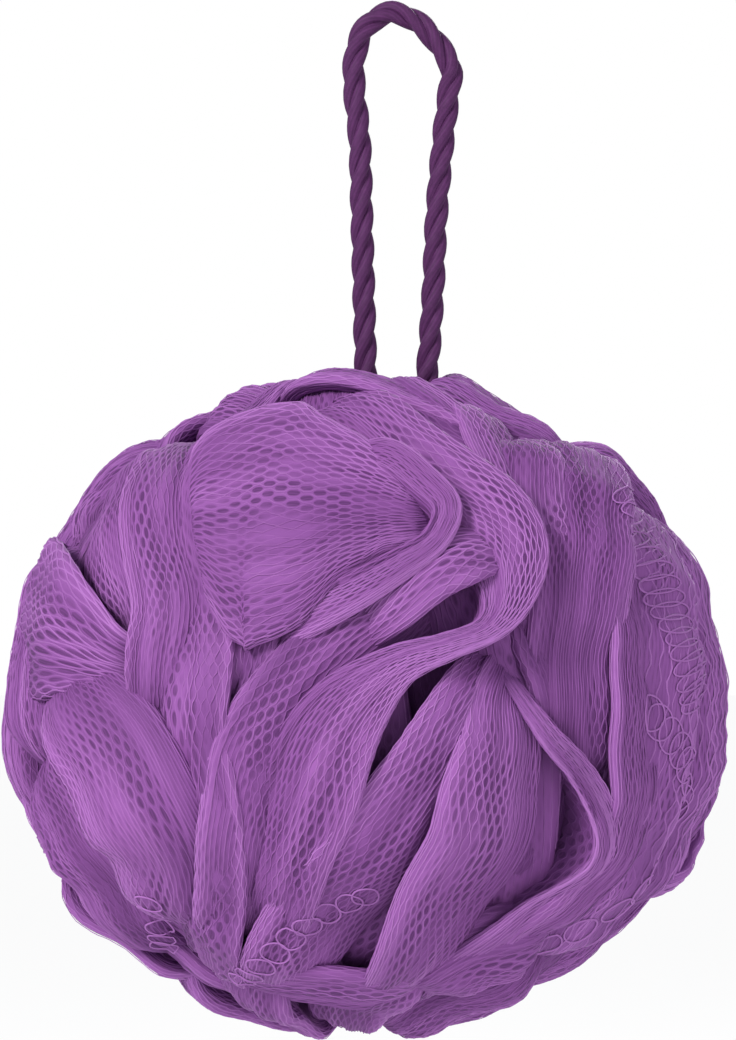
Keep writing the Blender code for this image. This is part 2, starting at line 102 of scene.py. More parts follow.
# The front ruffles, as name, side of the lip (+1 is the left of the spine's run), fullness of the
# section (1 is a full roll, less is a flatter fold) and spine. A spine's point is azimuth from the
# front in degrees, elevation in degrees, height of the crest over the ball in millimetres and
# half-width in millimetres.
FRONT_RUFFLES = (
    ("fan", 1, 0.4, (
        (-37, 35, -12, 9), (-35, 36, -2, 13), (-32, 37, 1, 16.5), (-28, 38, 1.5, 20.5),
        (-22, 39, 1.5, 22.5), (-14, 39, 1.5, 20), (-5, 39, 1.5, 14), (3, 38, 1, 9), (10, 37, 0, 5),
        (19, 41, -8, 2.5))),
    ("fan_rim", 1, 0.8, (
        (-12, 52, -8, 2), (2, 47, 1, 2), (11, 40, 2, 2), (15, 35, 2, 2), (12, 29, 2, 2),
        (6, 25, 1, 2.5), (-2, 20, 0, 3), (-11, 16, -3, 3.5), (-19, 14, -9, 2.5))),
    ("s_band", 1, 0.7, (
        (-60, 74, -12, 5), (-7, 64, 0, 7), (8, 52, 1, 7.5), (17, 43, 1, 8), (23, 35, 1, 7.5),
        (25, 27, 1, 6), (23, 19, 1, 3.5), (19, 14, 1, 2), (12, 11, 1, 2), (5, 8, 1, 3),
        (-1, 2, 1, 5.5), (-5, -5, 1, 7), (-8, -14, 1, 7.5), (-12, -24, 0, 7), (-18, -37, -1, 6.5),
        (-28, -50, -2, 6), (-42, -63, -5, 5), (-62, -72, -12, 4))),
    ("arch", -1, 0.7, (
        (-4, 12, -9, 2.5), (3, 18, -1, 5), (10, 25, 0, 6.5), (17, 28, 0, 6.5), (24, 28, -2, 4.5),
        (32, 26, -10, 2.5))),
    ("under_fan", -1, 0.6, (
        (16, 32, -12, 4.5), (5, 20, -5, 6), (-4, 13, -3, 7.5), (-12, 4, -2, 7.5),
        (-18, -6, -2, 7.5), (-21, -17, -2, 6.5), (-25, -29, -2, 6), (-33, -43, -3, 5),
        (-48, -57, -12, 3.5))),
    ("left_strip", 1, 0.7, (
        (-72, 70, -12, 4.5), (-54, 59, -3, 5.5), (-42, 42, -2, 6), (-34, 28, -2, 7),
        (-29, 17, -2, 8), (-28, 6, -1, 8), (-28, -4, 0, 7.5), (-26, -14, 0, 7),
        (-27, -27, -1, 6.5), (-34, -42, -1, 6), (-46, -56, -3, 5.5), (-64, -68, -12, 4))),
    ("bundle", -1, 0.7, (
        (-88, 62, -12, 4.5), (-68, 54, -3, 5.5), (-50, 41, -1, 6), (-41, 29, -1, 6),
        (-35, 19, -1, 6.5), (-35, 10, -2, 6.5), (-37, -1, -5, 5.5), (-42, -13, -12, 4))),
    ("top_left_lobe", 1, 0.7, (
        (-92, 56, -12, 4.5), (-76, 47, -2, 6.5), (-62, 37, 0, 7.5), (-51, 26, 0, 8),
        (-45, 18, -3, 7), (-46, 9, -10, 5))),
    ("left_lobe", 1, 0.4, (
        (-94, 19, -12, 11), (-86, 19, -1, 12), (-74, 18, 1, 12.5), (-62, 16, 1, 11),
        (-52, 13, 0, 8), (-44, 10, -2, 5), (-37, 8, -10, 3))),
    ("far_left", -1, 0.7, (
        (-88, 36, -12, 4), (-84, 26, -1, 5.5), (-80, 15, 0, 6.5), (-75, 5, 0, 6.5),
        (-73, -5, -2, 6.5), (-76, -17, -12, 4.5))),
    ("left_band", -1, 0.5, (
        (-70, 12, -12, 5.5), (-57, 2, -1, 8), (-46, -6, 1, 9.5), (-40, -15, 1, 10),
        (-38, -24, 0, 9.5), (-42, -36, -1, 8), (-54, -50, -12, 5.5))),
    ("left_band_low", -1, 0.6, (
        (-84, -4, -12, 4.5), (-74, -14, -1, 6.5), (-66, -24, 0, 8), (-64, -34, -1, 8),
        (-68, -46, -2, 7), (-76, -58, -12, 4.5))),
    ("low_left", 1, 0.7, (
        (-94, -24, -12, 4), (-88, -35, -1, 6), (-84, -46, -1, 6.5), (-80, -56, -1, 6),
        (-74, -67, -12, 4.5))),
    ("diagonal", -1, 0.5, (
        (27, 14, -12, 4.5), (18, 5, -2, 6.5), (13, -2, 0, 7), (9, -10, 0, 8), (3, -19, 0, 8.5),
        (-5, -29, -1, 8), (-14, -40, -1, 7.5), (-24, -52, -2, 6.5), (-37, -65, -5, 6),
        (-60, -76, -12, 4))),
    ("right_fold", -1, 0.6, (
        (29, 14, -12, 3.5), (21, 4, -2, 5.5), (20, -4, 0, 7), (18, -12, 1, 8), (17, -21, 1, 8.5),
        (13, -31, 1, 8), (10, -43, 0, 7), (6, -58, -3, 5.5), (0, -74, -12, 3.5))),
    ("crescent", -1, 0.7, (
        (21, 14, -12, 1.5), (23.5, 7, -5, 1.6), (26, 1, -2, 1.7), (29, -4, -0.5, 1.9),
        (33.5, -8.5, 0.8, 2.1), (37.5, -13.5, 1.7, 2.4), (40, -19, 2, 2.6), (40, -25, 1.5, 3),
        (37, -31, 0.5, 3.5), (32, -38, 0, 5), (27, -48, -2, 6),
        (28, -61, -4, 5), (36, -76, -12, 3.5))),
    ("smooth_band", -1, 0.6, (
        (54, 40, -12, 3), (50, 28, -2.5, 4.5), (47, 17, -0.7, 5), (45.5, 7, -0.4, 5.5),
        (45, -2, -0.4, 5.5), (45.5, -9, -0.3, 5.5), (46.5, -16, 0, 5.5), (46, -24, 0, 6),
        (42, -32, 0, 6.5), (37, -41, -1, 6.5), (36, -53, -3, 5.5), (46, -68, -12, 3.5))),
    ("right_band", 1, 0.6, (
        (64, 65, -12, 4.5), (46, 52, -2, 7), (34, 36, 0, 8), (33, 26, -1.4, 7.2), (32, 15, -4.2, 6.2),
        (39, 5, -11, 4.5))),
    ("ribbed_band", 1, 0.5, (
        (90, 60, -12, 5), (67, 50, 0, 8.5), (48, 36, 1, 8.5), (41, 24, 0, 8), (37.5, 14, -1, 7.5),
        (36.5, 5, -1.6, 7.5), (37, -3, -2.6, 7.5), (38, -11, -5.5, 6.5), (39, -20, -12, 4))),
    ("right_ruffle", 1, 0.4, (
        (96, 46, -12, 4.5), (80, 35, -2, 8), (66, 23, -1, 9), (59, 12, -1, 9.5), (56, 1, -1, 9.5),
        (54, -10, -1, 9), (54, -22, -1, 8.5), (56, -35, -2, 7.5), (60, -47, -3, 6.5),
        (74, -60, -12, 4.5))),
    ("far_right", 1, 0.6, (
        (104, 42, -12, 3.5), (94, 34, -1, 5.5), (84, 25, 0, 6), (77, 14, -1, 5.5), (73, 3, 1, 6.5),
        (73, -9, 0, 6.5), (76, -22, -1, 6.5), (82, -35, -1, 6), (94, -48, -12, 4.5))),
    ("top_lobe", -1, 0.6, (
        (64, 76, -12, 4), (48, 65, -2, 7), (38, 51, -3, 7.5), (34, 38, -5, 7), (33, 25, -6, 6),
        (37, 14, -12, 4))),
    ("mid_right_dip", -1, 0.7, (
        (36, 32, -12, 4), (31, 16, -5, 6.5), (33, 6, -5, 6.5), (35, -5, -7, 5),
        (41, -19, -12, 3.5))),
    ("hollow_bed", 1, 0.6, (
        (19, 2, -12, 4), (16, -6, -6, 6.5), (15, -15, -6, 6.5), (13, -25, -6, 6.5),
        (9, -37, -5, 7), (3, -48, -3.5, 9), (-3, -59, -4, 9), (-8, -71, -12, 6))),
    ("low_mid", 1, 0.5, (
        (-66, -52, -12, 5), (-44, -57, -2.5, 9), (-18, -58, -1.5, 11), (6, -60, -1.5, 11),
        (30, -66, -12, 6))),
    ("low_right", -1, 0.6, (
        (16, -72, -12, 3.5), (19, -56, -1, 6.5), (27, -47, 0, 7), (41, -44, -1, 6.5),
        (60, -48, -12, 4.5))),
    ("mid_left_dip", 1, 0.6, (
        (-4, 15, -12, 3.5), (-6, 3, -5, 6.5), (-10, -7, -5, 7), (-15, -17, -5, 6.5),
        (-19, -29, -5, 5.5), (-28, -44, -12, 4))),
    ("left_dip", 1, 0.6, (
        (-14, 26, -12, 4), (-19, 15, -4, 6), (-21, 4, -4, 6.5), (-23, -8, -4, 6), (-26, -22, -12, 4))),
    ("top_front", -1, 0.5, (
        (-70, 74, -12, 4.5), (-30, 75, 0, 7), (8, 74, 0.5, 8), (36, 67, -0.5, 8),
        (46, 57, -3, 7), (58, 48, -12, 4))),
    ("top_left_dark", 1, 0.7, (
        (-100, 60, -12, 4), (-82, 66, -1, 6), (-62, 70, -2, 6), (-38, 72, -12, 4))),
    ("bowl_bed", -1, 0.3, (
        (22, 0, -12, 4), (27, -8, -6.5, 7), (30, -17, -7, 8.5), (29, -27, -7, 8.5),
        (26, -37, -6.5, 7), (25, -48, -12, 5))),
)

# The ruffles at the two sides, laid in the same way.
SIDE_RUFFLES = (
    ("right_side_fold", 1, 0.7, (
        (84, 62, -12, 4), (90, 50, -1, 6), (96, 34, 0, 6.5), (94, 16, 0, 6.5), (88, 0, 0, 6.5),
        (90, -18, -1, 6.5), (98, -36, -2, 6), (110, -52, -12, 4))),
    ("right_side_roll", -1, 0.7, (
        (112, 64, -12, 4), (110, 48, -1, 6.5), (104, 30, -1, 7), (104, 10, 0, 7),
        (108, -10, 0, 7), (106, -30, -1, 6.5), (96, -48, -2, 6), (84, -62, -12, 4))),
    ("right_side_tuck", 1, 0.7, (
        (70, -8, -12, 4), (80, -16, -2, 5.5), (86, -30, -1, 6), (84, -46, -2, 6),
        (74, -60, -3, 5.5), (56, -70, -12, 4))),
    ("left_side_fold", -1, 0.7, (
        (-88, 64, -12, 4), (-96, 50, -1, 6), (-100, 32, 0, 6.5), (-96, 14, 0, 6.5),
        (-94, -4, 0, 6.5), (-98, -22, -1, 6.5), (-106, -40, -2, 6), (-116, -56, -12, 4))),
    ("left_side_roll", 1, 0.7, (
        (-118, 62, -12, 4), (-114, 46, -1, 6.5), (-110, 28, -1, 7), (-112, 8, 0, 7),
        (-110, -12, 0, 7), (-104, -32, -1, 6.5), (-96, -48, -2, 6), (-86, -62, -12, 4))),
)

# Ruffles that stand in a ring: how many there are, the azimuth of the first, the side of the lip,
# the fullness and the spine of one, from its own azimuth. The first ring stands round the throat,
# the second round the foot of the ball, and the third lies under all the others.
RINGS = (
    (9, 10, 1, 0.7, ((0, 84, -12, 3.5), (4, 76, -1, 5.5), (12, 65, -2, 7), (22, 54, -3, 6.5),
                     (32, 44, -12, 4))),
    (8, 25, -1, 0.7, ((0, -89, -12, 2.5), (6, -80, -1, 4.5), (16, -69, -1, 7), (28, -58, -2, 7),
                      (40, -46, -12, 4))),
    (14, 7, 1, 0.6, ((0, 72, -12, 4), (4, 58, -6.5, 7.5), (9, 38, -5.5, 10.5), (13, 16, -5.5, 12.5),
                     (16, -8, -5.5, 13), (20, -30, -5, 11.5), (25, -52, -4.5, 9.5),
                     (30, -68, -5, 6.5), (33, -82, -12, 3))),
)

# How the net lies on each ruffle: the gap between strands, the length of its cells, how far they
# open at most and at least, the thickness of a strand, how pale it is, the pleats' depth and
# spacing, and how much deeper than elsewhere it still shows on the front. Lengths are in
# millimetres. An inner look is that of the layers under the strands, where it differs.
PLAIN_LOOK = {"gap": 0.75, "cell": 4.2, "open": 0.9, "least": 0.1, "strand": 0.24, "pale": 0.0,
              "pleat": 0.45, "pleat_gap": 4.6, "deep": 0.0}
OPEN_LOOK = {"gap": 2.1, "cell": 6.6, "open": 1.0, "least": 0.4, "strand": 0.38, "pale": 2.0,
             "pleat": 0.2, "pleat_gap": 8.0, "deep": 0.0, "inner": {**PLAIN_LOOK, "open": 0.5}}
RING_NAMES = ("collar", "foot", "under")
LOOKS = {
    "fan": {**PLAIN_LOOK, "open": 1.0, "least": 0.5},
    "left_lobe": {**PLAIN_LOOK, "gap": 1.1, "cell": 7.0, "open": 1.0, "least": 0.6, "strand": 0.34,
                  "pale": 0.6},
    "left_strip": {**PLAIN_LOOK, "gap": 1.0, "open": 1.0},
    "arch": {**PLAIN_LOOK, "gap": 0.9, "cell": 4.6, "open": 1.0},
    "under": {**PLAIN_LOOK, "gap": 0.95, "open": 0.5},
    "bowl_bed": {**PLAIN_LOOK, "open": 0.4, "pleat": 0.2, "deep": 1.0},
    "crescent": {**PLAIN_LOOK, "deep": 6.0},
    "smooth_band": {**PLAIN_LOOK, "open": 0.5, "deep": 2.5},
    "right_ruffle": OPEN_LOOK,
    "far_right": OPEN_LOOK,
    "ribbed_band": {**PLAIN_LOOK, "pleat": 0.6, "pleat_gap": 3.6, "deep": 1.5},
}

# Rows of loose loops at the net's cut edge, as the loops' number, their half-length along the row
# and across it in millimetres, and the row as azimuths and elevations.
EDGE_LOOPS = (
    (9, 2.3, 2.6, ((0, -31.5), (-10, -36.5), (-20, -43.5), (-33, -52))),
    (6, 1.9, 2.4, ((-43, -33), (-48, -38), (-55, -44), (-60, -48))),
    (17, 3.3, 3.2, ((50, 0), (60, -9), (67, -19), (63, -32), (44, -50))),
    (15, 1.7, 6.5, ((60, 37), (60.5, 26), (60.5, 17), (61, 9), (63, 2))),
)

# A loop of the cut edge: its strand's thickness, how pale it is, its points, how far it may drop and
# lift from its row's level, and how far it stays over the net, in millimetres. A look for the net
# starts so far out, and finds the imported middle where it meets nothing.
LOOP_STRAND = 0.38
LOOP_PALE = 2.4
LOOP_POINTS = 21
LOOP_DROP = 2.0
LOOP_LIFT = 2.5
LOOP_CLEAR = 0.35
LOOK_FROM = 90.0
LOOK_MISS = 30.0

# How a ruffle is laid, in millimetres: the grid's step along it and columns across it, its least
# half-width, how little and how much it may roll, the lip's place and spread in the section, how
# far its sides go under a low crest, the flat section that the columns are spaced on, and the
# middle and spread of its uneven face.
GRID_STEP = 1.3
GRID_COLUMNS = 34
HALF_LEAST = 1.5
FOLD_LEAST, FOLD_MOST = 0.4, 1.3
# The lip is where the net's materials paint a highlight, and where the denser net hides the holes.
LIP_STOP = 6.1
LIP_SPREAD = 0.95
ROOT_UNDER = 4.0
PLAN_WIDTH, PLAN_DEPTH = 6.0, -15.0
FACE_MIDDLE, FACE_SPREAD = 0.45, 0.33

# How uneven a ruffle's face is, as a height, a length along and a length across in millimetres. The
# pleats' first number is how far they wander, in radians.
PLEAT_DRIFT = (2.2, 16, 9)
DIMPLES = (0.7, 11, 14)
WAVES = (1.0, 6)

# How far the inner layers lie under the strands, how deep in the source's net the strands and the
# inner layers still show, how far the layers go on under the imported middle's top and the strands
# stop over it, and how far both keep from the throat, in millimetres.
PLY_INSET = 0.12
STRAND_BURIAL = 1.75
PLY_BURIAL = 6.0
PLY_UNDER, STRAND_OVER = 1.0, 0.3
PLY_CLEAR, STRAND_CLEAR, MIDDLE_CLEAR = 0.4, 0.2, 0.1

# A strand's section, as places out and up in half-thicknesses: a ridge with an open foot. The
# longest step along a strand, and how far strands are lifted over each other, in millimetres.
STRAND_SECTION = ((0.0, 0.6), (-0.87, -0.5), (0.87, -0.5))
STRAND_STEP = 1.2
STRAND_LIFT = 0.05

# The smooth noise: how many waves it is the sum of, and what brings them back to about 1.
NOISE_WAVES, NOISE_SHARE = 6, 3.2

# The weave's coordinate for each millimetre along a strand or the cord.
WEAVE_SCALE = 0.1

# The first ruffle's seed and the step to the next one's, and what each kind of unevenness adds.
FIRST_SEED, SEED_STEP = 11, 13
SEEDS = {"pleat": 0, "dimple": 1, "wave": 3, "open": 5, "bunch": 7, "streak": 17, "broad": 23,
         "cell": 29}


def spread(values, places):
    """Points of a smooth curve through the rows of values, at places counted in rows."""
    values = np.asarray(values, float)
    last = len(values) - 1
    i = np.clip(places.astype(int), 0, last - 1)
    t = (places - i).reshape((-1,) + (1,) * (values.ndim - 1))
    a, b, c, d = (values[np.clip(i + k, 0, last)] for k in (-1, 0, 1, 2))
    return 0.5 * (2 * b + (c - a) * t + (2 * a - 5 * b + 4 * c - d) * t ** 2
                  + (3 * b - a - 3 * c + d) * t ** 3)


def unit(v):
    """Directions of vectors."""
    return v / np.maximum(np.linalg.norm(v, axis=-1, keepdims=True), 1e-9)


def on_ball(ways, height):
    """Points at a height over the ball along directions of the round space."""
    return BALL_CENTRE + unit(ways) * (BALL_RADII + np.asarray(height)[..., None])


def way(azimuth, elevation):
    """Directions of the round space, from azimuths off the front and elevations in degrees."""
    a, e = np.radians(azimuth), np.radians(elevation)
    return np.stack([np.sin(a) * np.cos(e), -np.cos(a) * np.cos(e), np.sin(e)], -1)


def soft_noise(x, y, seed):
    """A smooth wandering value from about -1 to 1 over a plane, the same each run."""
    rng = np.random.default_rng(seed)
    total = np.zeros(np.broadcast(x, y).shape)
    for _ in range(NOISE_WAVES):
        fx, fy, phase = rng.normal(), rng.normal(), rng.uniform(0, 2 * np.pi)
        total = total + np.sin(fx * x + fy * y + phase)
    return total / NOISE_SHARE


def travelled(line):
    """How far along a line of points each of them is."""
    return np.concatenate([[0], np.cumsum(np.linalg.norm(np.diff(line, axis=0), axis=1))])


def wrapped_faces(rows, turns, outward):
    """The faces of a skin that closes on itself across, as rows of points round it."""
    index = np.arange(rows * turns).reshape(rows, turns)
    after = np.roll(index, -1, 1)
    corners = (index[:-1], after[:-1], after[1:], index[1:])
    if not outward:
        corners = (index[:-1], index[1:], after[1:], after[:-1])
    return np.stack(corners, -1).reshape(-1, 4)


def uneven(sheet, kind, along, across):
    """The smooth wandering of one kind over a ruffle, from about -1 to 1."""
    return soft_noise(along, across, sheet["seed"] + SEEDS[kind])


def fold_sheet(name, spine, lip_side, fullness, turn_over, seed):
    """One ruffle's surface as a grid of points, with its normals, its mm along and across, and its
    height over the ball."""
    spine = np.array(spine, float)
    ways = way(spine[:, 0], spine[:, 1])
    if turn_over:
        ways = ways * (1, -1, -1)
    rough = on_ball(ways, np.zeros(len(ways)))
    length = np.linalg.norm(np.diff(rough, axis=0), axis=1).sum()
    count = max(12, int(length / GRID_STEP))
    places = np.linspace(0, len(spine) - 1, count)
    line = unit(spread(ways, places))
    here = on_ball(line, np.zeros(count))
    ahead = unit(np.gradient(here, axis=0))
    up = unit(here - BALL_CENTRE)
    side = unit(np.cross(up, ahead)) * lip_side
    half = np.maximum(HALF_LEAST, spread(spine[:, 3], places))
    crest = spread(spine[:, 2], places)
    fold = fullness * np.clip(half / FOLD_SCALE, FOLD_LEAST, FOLD_MOST)
    across_s = np.array([SECTION_ROOTS[1]] + [s for s, _ in SECTION] + [SECTION_ROOTS[0]])
    depth = np.minimum(-ROOT_DEPTH, crest - ROOT_UNDER)
    heights = np.stack([depth] + [crest + n * fold for _, n in SECTION] + [depth])
    plan_high = np.array([PLAN_DEPTH] + [n for _, n in SECTION] + [PLAN_DEPTH])
    plan = np.stack([across_s * PLAN_WIDTH, plan_high], 1)
    gone = travelled(plan)
    stops = np.interp(np.linspace(0, gone[-1], GRID_COLUMNS), gone, np.arange(len(gone)))
    s = spread(across_s, stops)
    high = spread(heights, stops).T
    along = travelled(here)
    across = np.linspace(0, gone[-1], GRID_COLUMNS)
    look = LOOKS.get(name, PLAIN_LOOK)
    face = np.exp(-((across / gone[-1] - FACE_MIDDLE) / FACE_SPREAD) ** 4)
    sheet = {"along": along, "look": look, "seed": seed}
    far, wide = along[:, None], across[None]
    drift = PLEAT_DRIFT[0] * uneven(sheet, "pleat", far / PLEAT_DRIFT[1], wide / PLEAT_DRIFT[2])
    pleats = np.sin(wide * 2 * np.pi / look["pleat_gap"] + drift)
    high = high + look["pleat"] * face * pleats * np.clip(fold, FOLD_LEAST, 1)[:, None]
    high = high + DIMPLES[0] * uneven(sheet, "dimple", far / DIMPLES[1], wide / DIMPLES[2]) * face
    high = high + WAVES[0] * uneven(sheet, "wave", far / WAVES[1], 0.0 * wide) * face
    base = here[:, None] + side[:, None] * (half[:, None] * s[None])[..., None]
    ways = (base - BALL_CENTRE) / BALL_RADII
    points = BALL_CENTRE + unit(ways) * (BALL_RADII + high[..., None])
    du = np.gradient(points, axis=0)
    dv = np.gradient(points, axis=1)
    normals = unit(np.cross(du, dv))
    # The lip, where the net's materials paint a highlight and the denser net hides the holes.
    lip = np.exp(-((stops - LIP_STOP) / LIP_SPREAD) ** 2)
    crest_column = np.argmax(np.interp(stops, [0, 5, 10], [0, 1, 0]))
    if np.sum(normals[:, crest_column] * up) < 0:
        normals = -normals
    sheet.update(points=points, normals=normals, high=high, length=along[-1],
                 wide=np.linalg.norm(np.diff(points, axis=1), axis=2).sum(1),
                 lip=np.repeat(lip[None], count, 0))
    return sheet


def sampled(grid, rows, columns):
    """Values of a grid between its points."""
    i = np.clip(rows.astype(int), 0, grid.shape[0] - 2)
    j = np.clip(columns.astype(int), 0, grid.shape[1] - 2)
    a = rows - i
    b = columns - j
    if grid.ndim == 3:
        a, b = a[..., None], b[..., None]
    return ((grid[i, j] * (1 - a) + grid[i + 1, j] * a) * (1 - b)
            + (grid[i, j + 1] * (1 - a) + grid[i + 1, j + 1] * a) * b)


def in_throat(points, margin):
    """Which points are in the throat that the cord goes down."""
    out = np.hypot(points[..., 0] - THROAT_X, points[..., 1])
    return (out < THROAT_WIDTH / 2 + margin) & (points[..., 2] > THROAT_FLOOR)


class Skin:
    """The points and faces of a piece as it is gathered, with what its material reads."""

    def __init__(self):
        self.points, self.faces, self.values, self.uvs = [], [], [], []
        self.count = 0

    def add(self, points, faces, values, uvs):
        """More points, in millimetres, with the faces between them."""
        self.faces.append(np.asarray(faces) + self.count)
        self.points.append(points)
        self.values.append(values)
        self.uvs.append(uvs)
        self.count += len(points)

    def piece(self, name, material):
        """The Blender object of the gathered skin, on the one body."""
        mesh = bpy.data.meshes.new(name)
        points = np.concatenate(self.points) * MM
        mesh.vertices.add(len(points))
        mesh.vertices.foreach_set("co", points.ravel())
        corners = np.concatenate([f.ravel() for f in self.faces])
        sizes = np.concatenate([np.full(len(f), f.shape[1]) for f in self.faces])
        mesh.loops.add(len(corners))
        mesh.loops.foreach_set("vertex_index", corners)
        mesh.polygons.add(len(sizes))
        mesh.polygons.foreach_set("loop_start", np.concatenate([[0], np.cumsum(sizes)[:-1]]))
        mesh.polygons.foreach_set("use_smooth", np.ones(len(sizes), bool))
        values = np.concatenate(self.values)
        # rise and lip drive the net's painted highlights and painted shade; tint and tone are its
        # uneven colour.
        for k, label in enumerate(("rise", "tint", "lip", "tone")):
            store = mesh.attributes.new(label, "FLOAT", "POINT")
            store.data.foreach_set("value", np.ascontiguousarray(values[:, k], np.float32))
        uvs = np.concatenate(self.uvs)
        layer = mesh.uv_layers.new(name="weave")
        layer.data.foreach_set("uv", uvs[corners].astype(np.float32).ravel())
        mesh.update()
        mesh.validate()
        mesh.materials.append(material)
        made = bpy.data.objects.new(name, mesh)
        bpy.context.scene.collection.objects.link(made)
        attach(made, "root")
        return made


def rise_of(high):
    """How far a point stands out of the ball's packed middle, from 0 to 1."""
    return np.clip((high + CORE_DEPTH) / CORE_DEPTH, 0, 1.1)


def source_net():
    """The source's net, as a tree that finds the nearest point of its skin."""
    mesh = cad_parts["netting"].data
    return BVHTree.FromPolygons([v.co / MM for v in mesh.vertices],
                                [tuple(p.vertices) for p in mesh.polygons])


def burial(points, tree):
    """How deep a grid of points lies inside the source's net, in millimetres."""
    some = points[::2, ::2]
    deep = []
    for point in some.reshape(-1, 3):
        near, normal, _, _ = tree.find_nearest(point)
        deep.append((near - Vector(point)).dot(normal))
    rows, columns = (np.arange(n) / 2 for n in points.shape[:2])
    deep = np.array(deep).reshape(some.shape[:2])
    rows, columns = np.broadcast_arrays(rows[:, None], columns[None])
    return sampled(deep, rows, columns)


def strand_count(sheet, look):
    """How many strands lie side by side on a ruffle."""
    return max(4, int(sheet["wide"].max() / look["gap"]))


def bunching(sheet, look, along, strand):
    """How far the strands wander across the ruffle, in millimetres."""
    return 0.9 * look["gap"] * uneven(sheet, "bunch", along / 20, strand * look["gap"] / 3.5)


def openness(sheet, look, along, strand):
    """How far the strands part between the places where they touch."""
    drift = uneven(sheet, "open", along / 6, strand * look["gap"] / 3)
    return np.clip(0.6 + 0.8 * drift, look["least"], 1) * look["open"]


def cell_drift(sheet, look, along, strand):
    """How far the cells stray from an even row, counted in cells."""
    return 0.8 * uneven(sheet, "cell", along / 12, strand * look["gap"] / 5)


def streaks(sheet, look, along, strand):
    """The long pale and dark streaks of the drawn net, from -1 to 1."""
    across = strand * look["gap"]
    fine = uneven(sheet, "streak", along / 16, across / 1.5)
    broad = uneven(sheet, "broad", along / 22, across / 4.5)
    return np.clip(0.6 * fine + 0.6 * broad, -1, 1)


def add_ply(skin, sheet):
    """The inner layers of net under a ruffle's strands."""
    points = sheet["points"] - sheet["normals"] * PLY_INSET
    rows, columns = points.shape[:2]
    index = np.arange(rows * columns).reshape(rows, columns)
    faces = np.stack([index[:-1, :-1], index[:-1, 1:], index[1:, 1:], index[1:, :-1]], -1)
    faces = faces.reshape(-1, 4)
    seen = (sheet["high"] > -CORE_DEPTH - PLY_UNDER) & ~in_throat(points, PLY_CLEAR)
    bare = sheet["burial"] < PLY_BURIAL + sheet["deep"]
    faces = faces[seen.ravel()[faces].all(1) & bare.ravel()[faces].any(1)]
    look = sheet["look"].get("inner", sheet["look"])
    along = sheet["along"][:, None]
    count = strand_count(sheet, look)
    strand = np.linspace(0, count, columns)[None]
    strand = strand - count * bunching(sheet, look, along, strand) / sheet["wide"][:, None]
    apart = openness(sheet, look, along, strand)
    tone = streaks(sheet, look, along, strand)
    values = np.stack([rise_of(sheet["high"]).ravel(), apart.ravel(), sheet["lip"].ravel(),
                       tone.ravel()], 1)
    cells = along / look["cell"] + cell_drift(sheet, look, along, strand)
    skin.add(points.reshape(-1, 3), faces, values, np.stack([cells.ravel(), strand.ravel()], 1))


def add_strands(skin, sheet):
    """The strands of net over a ruffle, which touch their neighbours in turn and leave long cells."""
    look = sheet["look"]
    rng = np.random.default_rng(sheet["seed"])
    rows, columns = sheet["points"].shape[:2]
    cell = look["cell"]
    count = strand_count(sheet, look)
    knots = max(8, int(sheet["length"] / min(cell / 4, STRAND_STEP)))
    u = np.linspace(0, sheet["length"], knots)
    row = np.interp(u, sheet["along"], np.arange(rows))
    wide = np.interp(u, sheet["along"], sheet["wide"])
    k = np.arange(count)[:, None]
    place = (k + 0.5) / count
    local_gap = wide / count
    apart = openness(sheet, look, u[None], k + 0.5)
    turn = 2 * np.pi * (u[None] / cell + cell_drift(sheet, look, u[None], k + 0.5))
    swing = (-1.0) ** k * 0.5 * local_gap * apart * np.cos(turn)
    bunch = bunching(sheet, look, u[None], k + 0.5)
    column = np.clip(place + (swing + bunch) / wide, 0, 1) * (columns - 1)
    row = np.repeat(row[None], count, 0)
    normals = unit(sampled(sheet["normals"], row, column))
    points = sampled(sheet["points"], row, column)
    lift = (STRAND_LIFT * rng.normal(size=(count, 1))
            + STRAND_LIFT * np.cos(np.pi * k) * np.sin(turn))
    points = points + normals * lift[..., None]
    high = sampled(sheet["high"], row, column)
    seen = (high > -CORE_DEPTH + STRAND_OVER) & ~in_throat(points, STRAND_CLEAR)
    seen = seen & (sampled(sheet["burial"], row, column) < STRAND_BURIAL + sheet["deep"])
    thick = look["strand"] / 2 * (0.85 + 0.3 * np.abs(np.cos(turn)))
    tint = rng.uniform(size=count) + look["pale"]
    tone = streaks(sheet, look, u[None], k + 0.5 - bunch / look["gap"])
    add_tubes(skin, points, normals, thick, seen, rise_of(high), tint,
              sampled(sheet["lip"], row, column), tone)


def add_tubes(skin, points, normals, thick, seen, rise, tint, lip, tone):
    """Strands along rows of points: ridges that lie on the inner layers of the net."""
    count, knots = points.shape[:2]
    ahead = unit(np.gradient(points, axis=1))
    side = unit(np.cross(ahead, normals))
    top = np.cross(side, ahead)
    ring = []
    for out, up in STRAND_SECTION:
        ring.append(points + (side * out + top * up) * thick[..., None])
    ring = np.stack(ring, 2)
    index = np.arange(count * knots * 3).reshape(count, knots, 3)
    use = seen[:, :-1] & seen[:, 1:]
    quads = []
    for a, b in ((0, 1), (2, 0)):
        here, after = index[:, :-1], index[:, 1:]
        quads.append(np.stack([here[..., a], here[..., b], after[..., b], after[..., a]], -1)[use])
    flat = ring.reshape(-1, 3)
    values = np.stack([np.repeat(rise.ravel(), 3), np.repeat(np.repeat(tint, knots), 3),
                       np.repeat(lip.ravel(), 3), np.repeat(tone.ravel(), 3)], 1)
    gone = np.concatenate([np.zeros((count, 1)),
                           np.cumsum(np.linalg.norm(np.diff(points, axis=1), axis=2), 1)], 1)
    uvs = np.stack([np.repeat(gone.ravel(), 3) * WEAVE_SCALE,
                    np.tile([0.0, 0.33, 0.66], count * knots)], 1)
    skin.add(flat, np.concatenate(quads), values, uvs)


